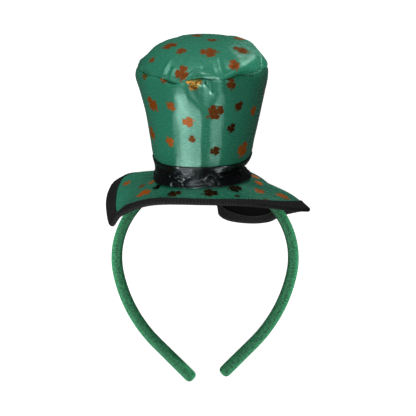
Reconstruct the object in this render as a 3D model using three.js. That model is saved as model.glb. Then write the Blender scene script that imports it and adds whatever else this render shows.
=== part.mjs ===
// A leprechaun headband: a small green satin top hat sewn on a springy headband that is wound with yarn.
// Millimetres. The hat is drawn standing up first: x to its right, y to its back, z up along its crown, with
// the origin where the brim sits on the headband. The whole is then laid on its back, resting on the two tips
// of the headband and on the folded-down back of the brim, with +Z up.

import * as THREE from 'three';

const DEGREE = Math.PI / 180;
const LEAN = 17 * DEGREE; // how far the crown rises from the floor when the hat lies on its back
const GAP = 0.3; // air between neighbouring pieces

const CROWN_COLUMNS = 56; // steps around the crown and its sash
const BRIM_COLUMNS = 80; // steps around the brim, 4 for each row of its table
const BAND_SIDES = 10; // sides of the headband's section

const CROWN_WALL = 1.5; // satin with its stiffening
const SASH_CLOTH = 1.2; // folded black satin
const SASH_ROWS = 4; // crown sections that the sash covers, counted from the foot
const BRIM_CLOTH = 1; // thickness of the brim's satin, and of its lining
const TAPE_CLOTH = 1; // folded bias tape
const TAPE_WIDTH = 8; // how far the tape reaches in from the brim's edge
const HALF_AIR = GAP / 2; // from the brim's middle surface to either of its layers
const HALF_STACK = HALF_AIR + BRIM_CLOTH; // from the middle surface to either face of the brim
const HALF_TAPE = HALF_STACK + GAP + TAPE_CLOTH; // from the middle surface to either face of the tape

const BEND_RADIUS = 33; // the distance at which the brim's bend is measured
const SIDE_BEND = 6.6; // drop of the brim at that distance left and right, where it bends over the headband
const FRONT_DISH = 5; // drop at that distance front and back
const FOOT_RADIUS = 36; // the brim's flat middle ends here, just outside the sash
const BRIM_HOLE = 28; // inner radius of the brim's satin, inside the crown
const LINING_RINGS = [15]; // radii of the lining's sections inside that hole
const BRIM_SHARES = [0.74, 0.5, 0.25, 0]; // the brim's sections between the tape and the foot
const FLOOR_BEND = 2.5; // height over which the back of the brim leaves the floor
const HANDLE = 0.42; // pull of a brim section's end directions, as a share of its length

const TUBE_RADIUS = 3.6; // the wound headband's half thickness
const BAND_ARCS = [
  // half of the headband, from the top down one side
  { radius: 78, sweep: 8, steps: 2 },
  { radius: 58.6, sweep: 92.5, steps: 13 },
  { radius: 104, sweep: 33.5, steps: 7 },
];
const BAND_LEG = { length: 29.4, steps: 3 }; // straight end of each side, before its rounded tip
const TIP_STEPS = 3; // sections of a rounded tip

// The crown from its foot to the seam. shift: of a section's middle to the right of the headband's middle.
// gather: share of the seam's puckers that reaches a section.
const CROWN_SECTIONS = [
  { height: 2.6, radius: 31.2, shift: -1.8, gather: 0 },
  { height: 6.5, radius: 28.9, shift: -3.7, gather: 0 },
  { height: 11, radius: 29.9, shift: -3, gather: 0 },
  { height: 14.8, radius: 31.6, shift: -2.2, gather: 0 },
  { height: 28, radius: 35.7, shift: -2, gather: 0.05 },
  { height: 44, radius: 39.6, shift: -2, gather: 0.15 },
  { height: 57, radius: 42.6, shift: -2, gather: 0.35 },
  { height: 66, radius: 44.7, shift: -2, gather: 0.6 },
  { height: 70, radius: 44.4, shift: -2, gather: 0.85 },
  { height: 72.3, radius: 42.6, shift: -2, gather: 1 },
];

// The puffed top from the seam to its middle.
const TIP_SECTIONS = [
  { height: 72.8, radius: 42.3, shift: -2, gather: 1 },
  { height: 75.5, radius: 42.9, shift: -2, gather: 0.8 },
  { height: 80, radius: 41, shift: -1.6, gather: 0.55 },
  { height: 85, radius: 36, shift: -1.2, gather: 0.3 },
  { height: 89.3, radius: 27.5, shift: -1, gather: 0.12 },
  { height: 92.3, radius: 14.5, shift: -1, gather: 0 },
];
const TIP_PEAK = { height: 93.2, shift: -1 };

// Puckers of the top seam. bearing: degrees from the front towards the right. width: half width in degrees.
// lift: how far the seam rises. dent: how far the cloth is drawn in.
const PUCKERS = [
  { bearing: -70, width: 11, lift: 0, dent: 1 },
  { bearing: -45, width: 9, lift: 0.5, dent: 1.3 },
  { bearing: -25, width: 10, lift: -2, dent: 0.3 },
  { bearing: 0, width: 14, lift: 2.2, dent: 1.4 },
  { bearing: 38, width: 15, lift: 3, dent: 1.2 },
  { bearing: 72, width: 12, lift: 1.4, dent: 1 },
  { bearing: 105, width: 11, lift: 0.8, dent: 1.3 },
  { bearing: 140, width: 13, lift: 0, dent: 1 },
  { bearing: 175, width: 12, lift: -0.8, dent: 1.4 },
  { bearing: 208, width: 11, lift: 0.6, dent: 1 },
  { bearing: 240, width: 13, lift: -0.6, dent: 1.2 },
  { bearing: 265, width: 10, lift: 0, dent: 0.8 },
];

// Soft folds of the black sash. swell: how far a fold stands off the crown. rise: of the sash's upper edge.
const SASH_FOLDS = [
  { bearing: -85, width: 24, swell: 0.6, rise: -1.9 },
  { bearing: -20, width: 24, swell: 0.6, rise: 0.7 },
  { bearing: 30, width: 22, swell: 0.4, rise: 0.7 },
  { bearing: 92, width: 24, swell: 0.5, rise: -2.2 },
  { bearing: 180, width: 32, swell: 0.6, rise: 0.4 },
];

// The brim, a row for each section from the foot to the edge. bearing: degrees from the front towards the
// right. reach: from the crown's middle to the edge. drop: of the edge below the middle. pitch: degrees below
// level at which the section arrives at the edge.
const BRIM_EDGE = [
  { bearing: 0, reach: 70, drop: 0.8, pitch: -4 },
  { bearing: 26, reach: 71, drop: 4.2, pitch: 5 },
  { bearing: 54, reach: 71, drop: 14.3, pitch: 24 },
  { bearing: 85, reach: 70.5, drop: 25.2, pitch: 44 },
  { bearing: 93, reach: 61.5, drop: 28, pitch: 80 },
  { bearing: 100, reach: 54, drop: 35, pitch: 100 },
  { bearing: 117, reach: 50, drop: 42.4, pitch: 104 },
  { bearing: 134, reach: 43.5, drop: 45.6, pitch: 104 },
  { bearing: 153, reach: 38.6, drop: 45, pitch: 104 },
  { bearing: 164.5, reach: 39.5, drop: 41.5, pitch: 100 },
  { bearing: 170, reach: 41.5, drop: 34, pitch: 95 },
  { bearing: 188, reach: 43.5, drop: 30.5, pitch: 90 },
  { bearing: 208, reach: 48.5, drop: 26, pitch: 80 },
  { bearing: 228, reach: 60, drop: 20, pitch: 68 },
  { bearing: 240, reach: 69.5, drop: 18.5, pitch: 42 },
  { bearing: 252, reach: 69.5, drop: 21.5, pitch: 40 },
  { bearing: 266, reach: 68, drop: 27, pitch: 48 },
  { bearing: 282, reach: 66, drop: 34.5, pitch: 62 },
  { bearing: 302, reach: 67, drop: 20, pitch: 38 },
  { bearing: 330, reach: 70.5, drop: 5, pitch: 8 },
];

const SATIN_GREEN = { color: 0x2f9b74, roughness: 0.38, metalness: 0 };
const SASH_BLACK = { color: 0x14171a, roughness: 0.35, metalness: 0 };
const LINING_BLACK = { color: 0x0f1012, roughness: 0.85, metalness: 0 };
const TAPE_BLACK = { color: 0x1c1d20, roughness: 0.8, metalness: 0 };
const YARN_GREEN = { color: 0x3d9262, roughness: 0.9, metalness: 0 };

// General shapes

// A smooth hump of height 1 at distance 0.
function hump(distance, width) {
  return Math.exp(-((distance / width) ** 2));
}

// The shorter way between two bearings, in degrees.
function bearingBetween(a, b) {
  return Math.abs(((a - b + 540) % 360) - 180);
}

// The sum of one column of a table of folds, each fading away from its own bearing.
function foldSum(folds, column, bearing) {
  return folds.reduce(
    (sum, fold) => sum + fold[column] * hump(bearingBetween(bearing, fold.bearing), fold.width),
    0,
  );
}

// A smooth closed curve through one column of a table, read at place 0 to 1 of the way around.
function aroundTable(rows, column, place) {
  const along = place * rows.length;
  const row = Math.floor(along);
  const part = along - row;
  const value = (step) => rows[(row + step + rows.length) % rows.length][column];
  const slope = (step) => (value(step + 1) - value(step - 1)) / 2;
  const rise = value(1) - value(0);
  const square = (3 * rise - 2 * slope(0) - slope(1)) * part ** 2;
  const cube = (slope(0) + slope(1) - 2 * rise) * part ** 3;
  return value(0) + slope(0) * part + square + cube;
}

function polar(radius, bearing, z) {
  return new THREE.Vector3(radius * Math.sin(bearing * DEGREE), -radius * Math.cos(bearing * DEGREE), z);
}

// A closed surface through rings of points, with each four-sided patch split along its shorter diagonal. A
// ring of one point is a pole; with no poles at its two ends, the last ring joins the first.
function skin(rings) {
  const positions = [];
  const starts = [];
  for (const ring of rings) {
    starts.push(positions.length / 3);
    ring.forEach((point) => positions.push(point.x, point.y, point.z));
  }
  const bands = rings[0].length === 1 ? rings.length - 1 : rings.length;
  const faces = [];
  for (let i = 0; i < bands; i++) {
    const k = (i + 1) % rings.length;
    const lower = rings[i];
    const upper = rings[k];
    const columns = Math.max(lower.length, upper.length);
    for (let j = 0; j < columns; j++) {
      const next = (j + 1) % columns;
      const [a, b] = [j, next].map((column) => starts[i] + (column % lower.length));
      const [d, c] = [j, next].map((column) => starts[k] + (column % upper.length));
      if (lower.length === 1) {
        faces.push(a, c, d);
      } else if (upper.length === 1) {
        faces.push(a, b, c);
      } else if (lower[j].distanceTo(upper[next]) < lower[next].distanceTo(upper[j])) {
        faces.push(a, b, c, a, c, d);
      } else {
        faces.push(a, b, d, b, c, d);
      }
    }
  }
  const geometry = new THREE.BufferGeometry();
  geometry.setAttribute('position', new THREE.Float32BufferAttribute(positions, 3));
  geometry.setIndex(faces);
  geometry.computeVertexNormals();
  return geometry;
}

// The outward direction at each point of a sheet, given as rings in order; a pole's is straight up.
function sheetNormals(rings) {
  return rings.map((ring, i) => {
    if (ring.length === 1) return [new THREE.Vector3(0, 0, 1)];
    const before = rings[Math.max(i - 1, 0)];
    const after = rings[Math.min(i + 1, rings.length - 1)];
    return ring.map((_, j) => {
      const left = ring[(j + ring.length - 1) % ring.length];
      const right = ring[(j + 1) % ring.length];
      const around = right.clone().sub(left);
      const along = after[j % after.length].clone().sub(before[j % before.length]);
      return around.cross(along).normalize();
    });
  });
}

function offsetRings(rings, normals, distance) {
  return rings.map((ring, i) =>
    ring.map((point, j) => point.clone().addScaledVector(normals[i][j], distance)),
  );
}

// A wall of cloth between two distances from a sheet.
function wall(rings, normals, inside, outside) {
  const inner = offsetRings(rings, normals, inside).reverse();
  const outer = offsetRings(rings, normals, outside);
  return skin([...inner, ...outer]);
}

function piece(name, geometry, look) {
  const mesh = new THREE.Mesh(geometry, new THREE.MeshStandardMaterial(look));
  mesh.name = name;
  return mesh;
}

// Headband

// Centres and headings of one side of the headband, from its top down to the tip.
function bandSide() {
  const stations = [];
  const at = new THREE.Vector2(0, -(HALF_STACK + GAP + TUBE_RADIUS));
  let heading = 0;
  const advance = (length, turn) => {
    const middle = heading + turn / 2;
    at.x += length * Math.cos(middle);
    at.y -= length * Math.sin(middle);
    heading += turn;
    stations.push({ x: at.x, z: at.y, heading, radius: TUBE_RADIUS });
  };
  stations.push({ x: at.x, z: at.y, heading, radius: TUBE_RADIUS });
  for (const arc of BAND_ARCS) {
    const turn = (arc.sweep * DEGREE) / arc.steps;
    for (let i = 0; i < arc.steps; i++) advance(2 * arc.radius * Math.sin(turn / 2), turn);
  }
  for (let i = 0; i < BAND_LEG.steps; i++) advance(BAND_LEG.length / BAND_LEG.steps, 0);
  const end = stations[stations.length - 1];
  for (let i = 1; i <= TIP_STEPS; i++) {
    const angle = ((Math.PI / 2) * i) / TIP_STEPS;
    const forward = TUBE_RADIUS * Math.sin(angle);
    stations.push({
      x: end.x + forward * Math.cos(heading),
      z: end.z - forward * Math.sin(heading),
      heading,
      radius: TUBE_RADIUS * Math.cos(angle),
    });
  }
  return stations;
}

// A round section of the headband, or a single point at the end of a tip.
function bandRing({ x, z, heading, radius }, side) {
  if (radius < GAP) return [new THREE.Vector3(side * x, 0, z)];
  const ring = [];
  for (let i = 0; i < BAND_SIDES; i++) {
    const angle = (2 * Math.PI * i) / BAND_SIDES;
    const outward = radius * Math.cos(angle);
    const forward = -radius * Math.sin(angle);
    ring.push(
      new THREE.Vector3(
        side * (x + outward * Math.sin(heading)),
        forward,
        z + outward * Math.cos(heading),
      ),
    );
  }
  return ring;
}

function headbandGeometry() {
  const stations = bandSide();
  const left = stations.slice(1).reverse().map((station) => bandRing(station, -1));
  const right = stations.map((station) => bandRing(station, 1));
  return skin([...left, ...right]);
}

// Floor, seen from the standing hat

// Height of a point along the direction that points up once the hat lies on its back.
function lyingHeight(point) {
  return point.z * Math.sin(LEAN) - point.y * Math.cos(LEAN);
}

function lowestLyingHeight(geometry) {
  const position = geometry.getAttribute('position');
  const point = new THREE.Vector3();
  let lowest = Infinity;
  for (let i = 0; i < position.count; i++) {
    lowest = Math.min(lowest, lyingHeight(point.fromBufferAttribute(position, i)));
  }
  return lowest;
}

// Cloth that would go through the floor is pressed flat on it, with a soft bend where it leaves the floor.
function pressOnFloor(point, floor) {
  const above = lyingHeight(point) - floor - HALF_TAPE;
  if (above > FLOOR_BEND) return point;
  const pressed = above > -FLOOR_BEND ? (above + FLOOR_BEND) ** 2 / (4 * FLOOR_BEND) : 0;
  point.y -= (pressed - above) / Math.cos(LEAN);
  return point;
}

// Brim

// The brim's middle surface near the crown, bent over the headband.
function bentBrim(x, y) {
  return -SIDE_BEND * (x / BEND_RADIUS) ** 2 - FRONT_DISH * (y / BEND_RADIUS) ** 2;
}

function brimRing(radius, bearings) {
  return bearings.map((bearing) => {
    const point = polar(radius, bearing, 0);
    point.z = bentBrim(point.x, point.y);
    return point;
  });
}

// One section of the brim, a curve from the foot of the crown to the edge.
function brimSection(place) {
  const rows = BRIM_EDGE.map((row) => {
    const edge = polar(row.reach, row.bearing, -row.drop);
    return { x: edge.x, y: edge.y, z: edge.z, pitch: row.pitch };
  });
  const read = (column) => aroundTable(rows, column, place);
  const edge = new THREE.Vector3(read('x'), read('y'), read('z'));
  const pitch = read('pitch') * DEGREE;
  const bearing = Math.atan2(edge.x, -edge.y) / DEGREE;
  const outward = polar(1, bearing, 0);
  const foot = brimRing(FOOT_RADIUS, [bearing])[0];
  const leave = outward.clone().setZ((2 * foot.z) / FOOT_RADIUS).normalize();
  const arrive = outward.clone().multiplyScalar(Math.cos(pitch)).setZ(-Math.sin(pitch));
  const handle = HANDLE * foot.distanceTo(edge);
  const curve = new THREE.CubicBezierCurve3(
    foot,
    foot.clone().addScaledVector(leave, handle),
    edge.clone().addScaledVector(arrive, -handle),
    edge,
  );
  return { bearing, curve };
}

// The brim's middle surface as rings from its edge in to the foot of the crown.
function brimRings(sections, floor) {
  const edge = sections.map(({ curve }) => pressOnFloor(curve.getPointAt(1), floor));
  const ringInsideTape = (share) =>
    sections.map(({ curve }) => {
      const tapeEnd = 1 - TAPE_WIDTH / curve.getLength();
      return pressOnFloor(curve.getPointAt(share * tapeEnd), floor);
    });
  return [edge, ...[1, ...BRIM_SHARES].map(ringInsideTape)];
}

// The tape's section: under the brim, round its edge, back over it, and the same way inside.
function bindingGeometry(rings, normals) {
  const point = (row, j, up, out) => {
    const outward = rings[0][j].clone().sub(rings[1][j]).normalize();
    return rings[row][j].clone().addScaledVector(normals[row][j], up).addScaledVector(outward, out);
  };
  const nose = GAP + TAPE_CLOTH;
  const within = HALF_STACK + GAP;
  const corners = [
    { row: 1, up: -HALF_TAPE, out: 0 },
    { row: 0, up: -HALF_TAPE, out: 0 },
    { row: 0, up: -HALF_TAPE / 2, out: nose },
    { row: 0, up: HALF_TAPE / 2, out: nose },
    { row: 0, up: HALF_TAPE, out: 0 },
    { row: 1, up: HALF_TAPE, out: 0 },
    { row: 1, up: within, out: 0 },
    { row: 0, up: within, out: GAP },
    { row: 0, up: -within, out: GAP },
    { row: 1, up: -within, out: 0 },
  ];
  return skin(corners.map(({ row, up, out }) => rings[0].map((_, j) => point(row, j, up, out))));
}

function brimPieces(floor) {
  const sections = Array.from({ length: BRIM_COLUMNS }, (_, j) => brimSection(j / BRIM_COLUMNS));
  const bearings = sections.map(({ bearing }) => bearing);
  const satin = [...brimRings(sections, floor), brimRing(BRIM_HOLE, bearings)];
  const lining = [...satin, ...LINING_RINGS.map((radius) => brimRing(radius, bearings)), brimRing(0, [0])];
  const normals = sheetNormals(lining);
  return [
    piece('brim', wall(satin, normals, HALF_AIR, HALF_STACK), SATIN_GREEN),
    piece('brim_lining', wall(lining, normals, -HALF_STACK, -HALF_AIR), LINING_BLACK),
    piece('brim_binding', bindingGeometry(satin, normals), TAPE_BLACK),
  ];
}

// Crown

// A point of the crown's outer face. The foot follows the bent brim, and the bend fades out up the crown.
function crownPoint({ height, radius, shift, gather }, bearing) {
  const drawnIn = gather * foldSum(PUCKERS, 'dent', bearing);
  const point = polar(radius - drawnIn, bearing, 0);
  point.x += shift;
  const bend = bentBrim(point.x, point.y) * hump(height, BEND_RADIUS);
  point.z = height + bend + gather * foldSum(PUCKERS, 'lift', bearing);
  return point;
}

function crownRings(sections) {
  const bearings = Array.from({ length: CROWN_COLUMNS }, (_, j) => (360 * j) / CROWN_COLUMNS);
  return sections.map((section) => bearings.map((bearing) => crownPoint(section, bearing)));
}

// The sash lies on the crown's lowest sections and stands off it in folds.
function sashRings() {
  return crownRings(CROWN_SECTIONS.slice(0, SASH_ROWS)).map((ring, i) =>
    ring.map((point, j) => {
      const bearing = (360 * j) / CROWN_COLUMNS;
      const stand = GAP + foldSum(SASH_FOLDS, 'swell', bearing);
      const rise = (foldSum(SASH_FOLDS, 'rise', bearing) * i) / (SASH_ROWS - 1);
      return point.add(polar(stand, bearing, rise));
    }),
  );
}

function crownPieces() {
  const side = crownRings(CROWN_SECTIONS);
  const peak = new THREE.Vector3(TIP_PEAK.shift, 0, TIP_PEAK.height);
  const tip = [...crownRings(TIP_SECTIONS), [peak]];
  const normals = sheetNormals([...side, ...tip]);
  const tipNormals = normals.slice(side.length);
  const sash = sashRings();
  return [
    piece('crown_side', wall(side, normals, -CROWN_WALL, 0), SATIN_GREEN),
    piece('crown_tip', wall(tip, tipNormals, -CROWN_WALL, 0), SATIN_GREEN),
    piece('hat_band', wall(sash, sheetNormals(sash), 0, SASH_CLOTH), SASH_BLACK),
  ];
}

// Assembly

function headpiece() {
  const standing = new THREE.Group();
  const headband = headbandGeometry();
  standing.add(piece('headband', headband, YARN_GREEN));
  standing.add(...brimPieces(lowestLyingHeight(headband)), ...crownPieces());
  standing.rotation.x = LEAN - Math.PI / 2;
  const lying = new THREE.Group();
  lying.add(standing);
  const box = new THREE.Box3().setFromObject(lying, true);
  const middle = box.getCenter(new THREE.Vector3());
  standing.position.set(-middle.x, -middle.y, -box.min.z);
  return lying;
}

export default headpiece();
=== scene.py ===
"""Looks of a leprechaun headband: a small green satin top hat, printed with copper foil shamrocks, on a wound
headband. The hat is drawn standing up in millimetres first: x to its right, y to its back, z up along its
crown, with the origin where the brim sits on the headband. Then it is laid on its back on the floor."""

from math import asin, cos, degrees, pi, radians, sin, sqrt
import bpy
import numpy as np
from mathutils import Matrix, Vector
from mathutils.bvhtree import BVHTree


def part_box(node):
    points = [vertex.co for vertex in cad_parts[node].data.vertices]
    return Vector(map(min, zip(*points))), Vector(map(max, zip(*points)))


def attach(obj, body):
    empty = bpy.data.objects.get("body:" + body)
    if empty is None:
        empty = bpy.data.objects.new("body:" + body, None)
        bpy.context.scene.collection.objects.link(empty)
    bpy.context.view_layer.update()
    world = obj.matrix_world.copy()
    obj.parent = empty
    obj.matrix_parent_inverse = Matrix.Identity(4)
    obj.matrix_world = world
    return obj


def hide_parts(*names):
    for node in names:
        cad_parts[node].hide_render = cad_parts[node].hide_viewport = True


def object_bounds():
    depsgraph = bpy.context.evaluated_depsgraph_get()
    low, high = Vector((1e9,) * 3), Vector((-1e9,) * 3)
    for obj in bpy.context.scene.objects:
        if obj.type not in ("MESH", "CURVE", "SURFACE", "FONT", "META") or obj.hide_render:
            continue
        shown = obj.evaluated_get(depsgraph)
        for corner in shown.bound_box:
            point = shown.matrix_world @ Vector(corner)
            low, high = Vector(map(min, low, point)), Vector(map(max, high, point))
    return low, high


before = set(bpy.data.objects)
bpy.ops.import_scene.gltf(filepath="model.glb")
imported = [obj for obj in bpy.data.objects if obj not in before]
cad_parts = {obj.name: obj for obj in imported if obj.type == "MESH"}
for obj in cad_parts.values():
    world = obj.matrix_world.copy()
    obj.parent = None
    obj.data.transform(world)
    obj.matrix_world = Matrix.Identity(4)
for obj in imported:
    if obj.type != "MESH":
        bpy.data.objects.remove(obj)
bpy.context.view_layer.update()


def table(columns, *rows):
    """A table as one array for each named column."""
    return dict(zip(columns.split(), np.array(rows, float).T))


# Sizes in millimetres and degrees

MM = 0.001
TINY = 1e-6  # anything shorter counts as nothing
LEAN = radians(17)  # how far the crown rises from the floor
BRIM_HALF = 0.85  # from the brim's middle surface to its outer faces
LAYER_AIR = 0.1  # from the middle surface to the inner face of each layer
TAPE_HALF = 1.65  # from the middle surface to the outer faces of the tape
TAPE_WIDTH = 8.5
CROWN_CLOTH = 0.9
SASH_CLOTH = 0.6

BEND_RADIUS = 33.0  # where the next two bends of the brim are measured
SIDE_BEND = 6.6  # how much lower the brim lies at its sides
FRONT_DISH = 5.0  # how much lower it lies at its front and back
FOOT_RADIUS = 36.0  # where the brim's curved sections start
BRIM_HOLE = 28.0  # radius of the hole in the satin, under the crown
INSIDE_RADII = (32, BRIM_HOLE)  # rings of the brim inside the crown
LINING_RADII = (20, 10, 0)  # further rings, which only the lining has
FLOOR_BEND = 2.5  # height in which cloth bends where it leaves the floor
HANDLE = 0.42  # of a section's curve, as a share of its chord

TUBE_RADIUS = 3.6
BAND_MIDDLE = -5.05  # height of the headband's middle line under the hat
BAND_ARCS = table("radius sweep", (78, 8), (58.6, 92.5), (104, 32.75))
LEFT_LEG = 33.4
RIGHT_LEG = 28.3

CROWN_COLUMNS = 420
CROWN_BEARINGS = np.arange(CROWN_COLUMNS) * 360 / CROWN_COLUMNS
SIDE_ROWS = 150
TIP_ROWS = 96
SASH_STEPS = 44
BRIM_COLUMNS = 640
BRIM_ROWS = 44
UNDER_TAPE_ROWS = 8
SECTION_POINTS = 80

CROWN_SECTIONS = table(
    "height radius shift gather",
    (1.2, 32.0, -1.8, 0),
    (6.5, 28.4, -4.2, 0),
    (11, 30.3, -2.6, 0),
    (14.8, 32.5, -2.1, 0),
    (28, 35.8, -1.7, 0.05),
    (44, 39.3, -1.3, 0.15),
    (57, 42.6, -1.7, 0.35),
    (66, 44.7, -2, 0.6),
    (70, 44.8, -2, 0.85),
    (72.4, 44.2, -2, 1),
)
TIP_SECTIONS = table(
    "height radius shift gather",
    (72.6, 44.1, -2, 1),
    (75.5, 43.2, -2, 0.8),
    (80, 40.8, -1.6, 0.55),
    (85, 36, -1.2, 0.3),
    (89.1, 27.5, -1, 0.12),
    (91.8, 14.5, -1, 0),
    (92.3, 0, -1, 0),
)
PUCKERS = table(
    "bearing width lift dent",
    (-70, 11, 0, 1),
    (-45, 9, 0.5, 1.3),
    (-25, 10, -2, 0.3),
    (0, 14, 2.2, 1.4),
    (38, 15, 3, 1.2),
    (72, 12, 1.4, 1),
    (105, 11, 0.8, 1.3),
    (140, 13, 0, 1),
    (175, 12, -0.8, 1.4),
    (208, 11, 0.6, 1),
    (240, 13, -0.6, 1.2),
    (265, 10, 0, 0.8),
)
SASH_FOLDS = table(
    "bearing width swell rise",
    (-85, 26, 1.2, 1.9),
    (-20, 30, 0.9, 0.7),
    (30, 26, 0.4, 0.7),
    (92, 26, 1.6, 2.6),
    (180, 32, 0.6, 0.4),
)
BRIM_EDGE = table(
    "bearing reach drop pitch",
    (0, 70, 2.3, -4),
    (26, 71, 5.2, 5),
    (54, 71, 14.9, 24),
    (85, 70.7, 26.4, 44),
    (93, 66, 29.3, 60),
    (100, 54, 34.2, 86),
    (117, 50, 43, 104),
    (134, 43.5, 46.3, 104),
    (153, 38.6, 45.4, 104),
    (165.5, 39.5, 41.5, 100),
    (170, 41.5, 34, 95),
    (188, 43.5, 30.5, 90),
    (208, 48.5, 26, 80),
    (228, 60, 20, 68),
    (240, 69.5, 17.8, 42),
    (252, 69.2, 20.9, 40),
    (266, 67.2, 26.6, 48),
    (282, 65.2, 34.5, 62),
    (302, 66.4, 20.6, 38),
    (330, 70.5, 5.3, 8),
)

# The camera looks straight down from where the photograph was taken
PHOTO_SIZE = 416
PHOTO_FOCAL = 1974.0
SENSOR = 36.0
CAMERA_PLACE = Vector((0.00086, 0.00028, 1.4))


def hat_origin():
    """The standing hat's origin in the part's frame, from the box of the headband that carries it."""
    low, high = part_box("headband")
    top = (BAND_MIDDLE + TUBE_RADIUS) * MM
    y = high.y - top * cos(LEAN)
    z = high.z - (BAND_MIDDLE * sin(LEAN) + TUBE_RADIUS) * MM
    return np.array([(low.x + high.x) / 2, y, z])


HAT_ORIGIN = hat_origin()


# General shapes


def hump(distance, width):
    """A smooth hump of height 1 at distance 0."""
    return np.exp(-((distance / width) ** 2))


def bearing_from(a, b):
    """The bearing a as degrees from the bearing b, between -180 and 180."""
    return (a - b + 540) % 360 - 180


def fold_sum(folds, column, bearings):
    """The sum of one column of a table of folds, each fading away from its own bearing."""
    distances = bearing_from(bearings[:, None], folds["bearing"])
    return (folds[column] * hump(distances, folds["width"])).sum(1)


def polar(radius, bearings, z=0.0):
    angle = np.radians(bearings)
    return np.stack(np.broadcast_arrays(radius * np.sin(angle), -radius * np.cos(angle), z), -1)


def unit(vectors):
    return vectors / np.linalg.norm(vectors, axis=-1, keepdims=True)


def running(steps):
    """Running sums of steps, from 0."""
    return np.concatenate([[0], np.cumsum(steps)])


def cubic(start, end, start_slope, end_slope, part):
    """A cubic from start to end with the given slopes, at part 0 to 1 of the way."""
    rise = end - start
    square = (3 * rise - 2 * start_slope - end_slope) * part**2
    cube = (start_slope + end_slope - 2 * rise) * part**3
    return start + start_slope * part + square + cube


def curve_through(knots, values, places):
    """A smooth curve through values at rising knots, read at places."""
    slopes = np.gradient(values, knots)
    row = np.clip(np.searchsorted(knots, places, side="right") - 1, 0, len(knots) - 2)
    step = knots[row + 1] - knots[row]
    part = (places - knots[row]) / step
    return cubic(values[row], values[row + 1], slopes[row] * step, slopes[row + 1] * step, part)


def curve_around(values, count):
    """A smooth closed curve through evenly placed values, read at count places."""
    along = np.arange(count) * len(values) / count
    row = along.astype(int)
    slopes = (np.roll(values, -1) - np.roll(values, 1)) / 2
    after = (row + 1) % len(values)
    return cubic(values[row], values[after], slopes[row], slopes[after], along - row)


def sheet_normals(rings):
    """The outward direction at each point of a sheet that is given as rings in order."""
    around = np.roll(rings, -1, 1) - np.roll(rings, 1, 1)
    along = np.gradient(rings, axis=0)
    normals = np.cross(around, along)
    length = np.linalg.norm(normals, axis=-1, keepdims=True)
    return np.where(length > TINY, normals / np.maximum(length, TINY), (0.0, 0.0, 1.0))


def wall(rings, normals, inside, outside, every=1):
    """A wall of cloth between two distances from a sheet, with fewer rings on its inner face, and each ring's
    distance along the sheet from its first ring."""
    kept = np.unique(np.append(np.arange(0, len(rings), every), len(rings) - 1))[::-1]
    along = running(np.linalg.norm(np.diff(rings, axis=0), axis=-1).mean(1))
    walled = np.concatenate([(rings + normals * inside)[kept], rings + normals * outside])
    return walled, np.concatenate([along[kept], along])


def lay_down(points):
    """Points of the standing hat in millimetres, as points of the lying part in metres."""
    x, y, z = np.moveaxis(points, -1, 0)
    along = y * sin(LEAN) + z * cos(LEAN)
    up = z * sin(LEAN) - y * cos(LEAN)
    return np.stack([x, along, up], -1) * MM + HAT_ORIGIN


def add_object(name, data):
    made = bpy.data.objects.new(name, data)
    bpy.context.scene.collection.objects.link(made)
    return made


def smooth_piece(name, points, quads):
    """A smooth mesh through points of the standing hat. A quad that names a point twice is a triangle."""
    faces = [list(dict.fromkeys(quad)) for quad in quads.tolist()]
    mesh = bpy.data.meshes.new(name)
    mesh.from_pydata(lay_down(points), [], faces)
    mesh.polygons.foreach_set("use_smooth", np.ones(len(faces), bool))
    mesh.update()
    return add_object(name, mesh)


def ring_quads(rings, closed):
    """The points that a mesh through rings uses, and its faces. Each ring closes on itself, and the last ring
    joins the first if closed. A ring whose points are all one is a pole."""
    count, columns = rings.shape[:2]
    index = np.arange(count * columns).reshape(count, columns)
    poles = np.ptp(rings, axis=1).max(1) < TINY
    index[poles] = index[poles][:, :1]
    used, index = np.unique(index, return_inverse=True)
    index = index.reshape(count, columns)
    bands = count if closed else count - 1
    lower = index[:bands]
    upper = np.roll(index, -1, 0)[:bands]
    quads = np.stack([lower, np.roll(lower, -1, 1), np.roll(upper, -1, 1), upper], -1)
    return used, quads.reshape(-1, 4)


def ring_mesh(name, rings, closed=True, disc=None, grid=None):
    """A smooth mesh through rings. Its map named cloth holds millimetres along the cloth, or over the flat
    disc that it was cut from, where disc holds each ring's distance from the disc's middle. A grid gives
    the map as a column's width and each ring's distance."""
    used, quads = ring_quads(rings, closed)
    piece = smooth_piece(name, rings.reshape(-1, 3)[used], quads)
    map_cloth(piece.data, rings, quads, disc, grid)
    return piece


def cloth_grid(rings):
    """The mean width of a column, and each ring's distance from the first one."""
    girths = np.linalg.norm(np.roll(rings, -1, 1) - rings, axis=-1).sum(1)
    steps = np.linalg.norm(np.roll(rings, -1, 0) - rings, axis=-1).mean(1)
    return girths.mean() / rings.shape[1], running(steps)


def map_cloth(mesh, rings, quads, disc, grid):
    """Millimetres on the cloth at each corner of a ring mesh."""
    columns = rings.shape[1]
    band, column = np.divmod(np.arange(len(quads)), columns)
    column = np.stack([column, column + 1, column + 1, column], -1)
    band = np.stack([band, band, band + 1, band + 1], -1)
    if disc is None:
        width, along = grid or cloth_grid(rings)
        corners = np.stack([column * width, along[band]], -1)
    else:
        corners = polar(disc[band % len(rings)], column * 360 / columns)[..., :2]
    kept = np.ones(quads.shape, bool)
    for corner in range(1, 4):
        kept[:, corner] = (quads[:, corner, None] != quads[:, :corner]).all(1)
    layer = mesh.uv_layers.new(name="cloth")
    layer.uv.foreach_set("vector", corners[kept].astype(np.float32).ravel())


def finish_piece(piece, material, slot, *nodes):
    """Dresses a piece and ties it to the part."""
    piece.data.materials.append(material)
    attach(piece, "root")
    if nodes:
        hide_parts(*nodes)
    return piece


# Folds


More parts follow.
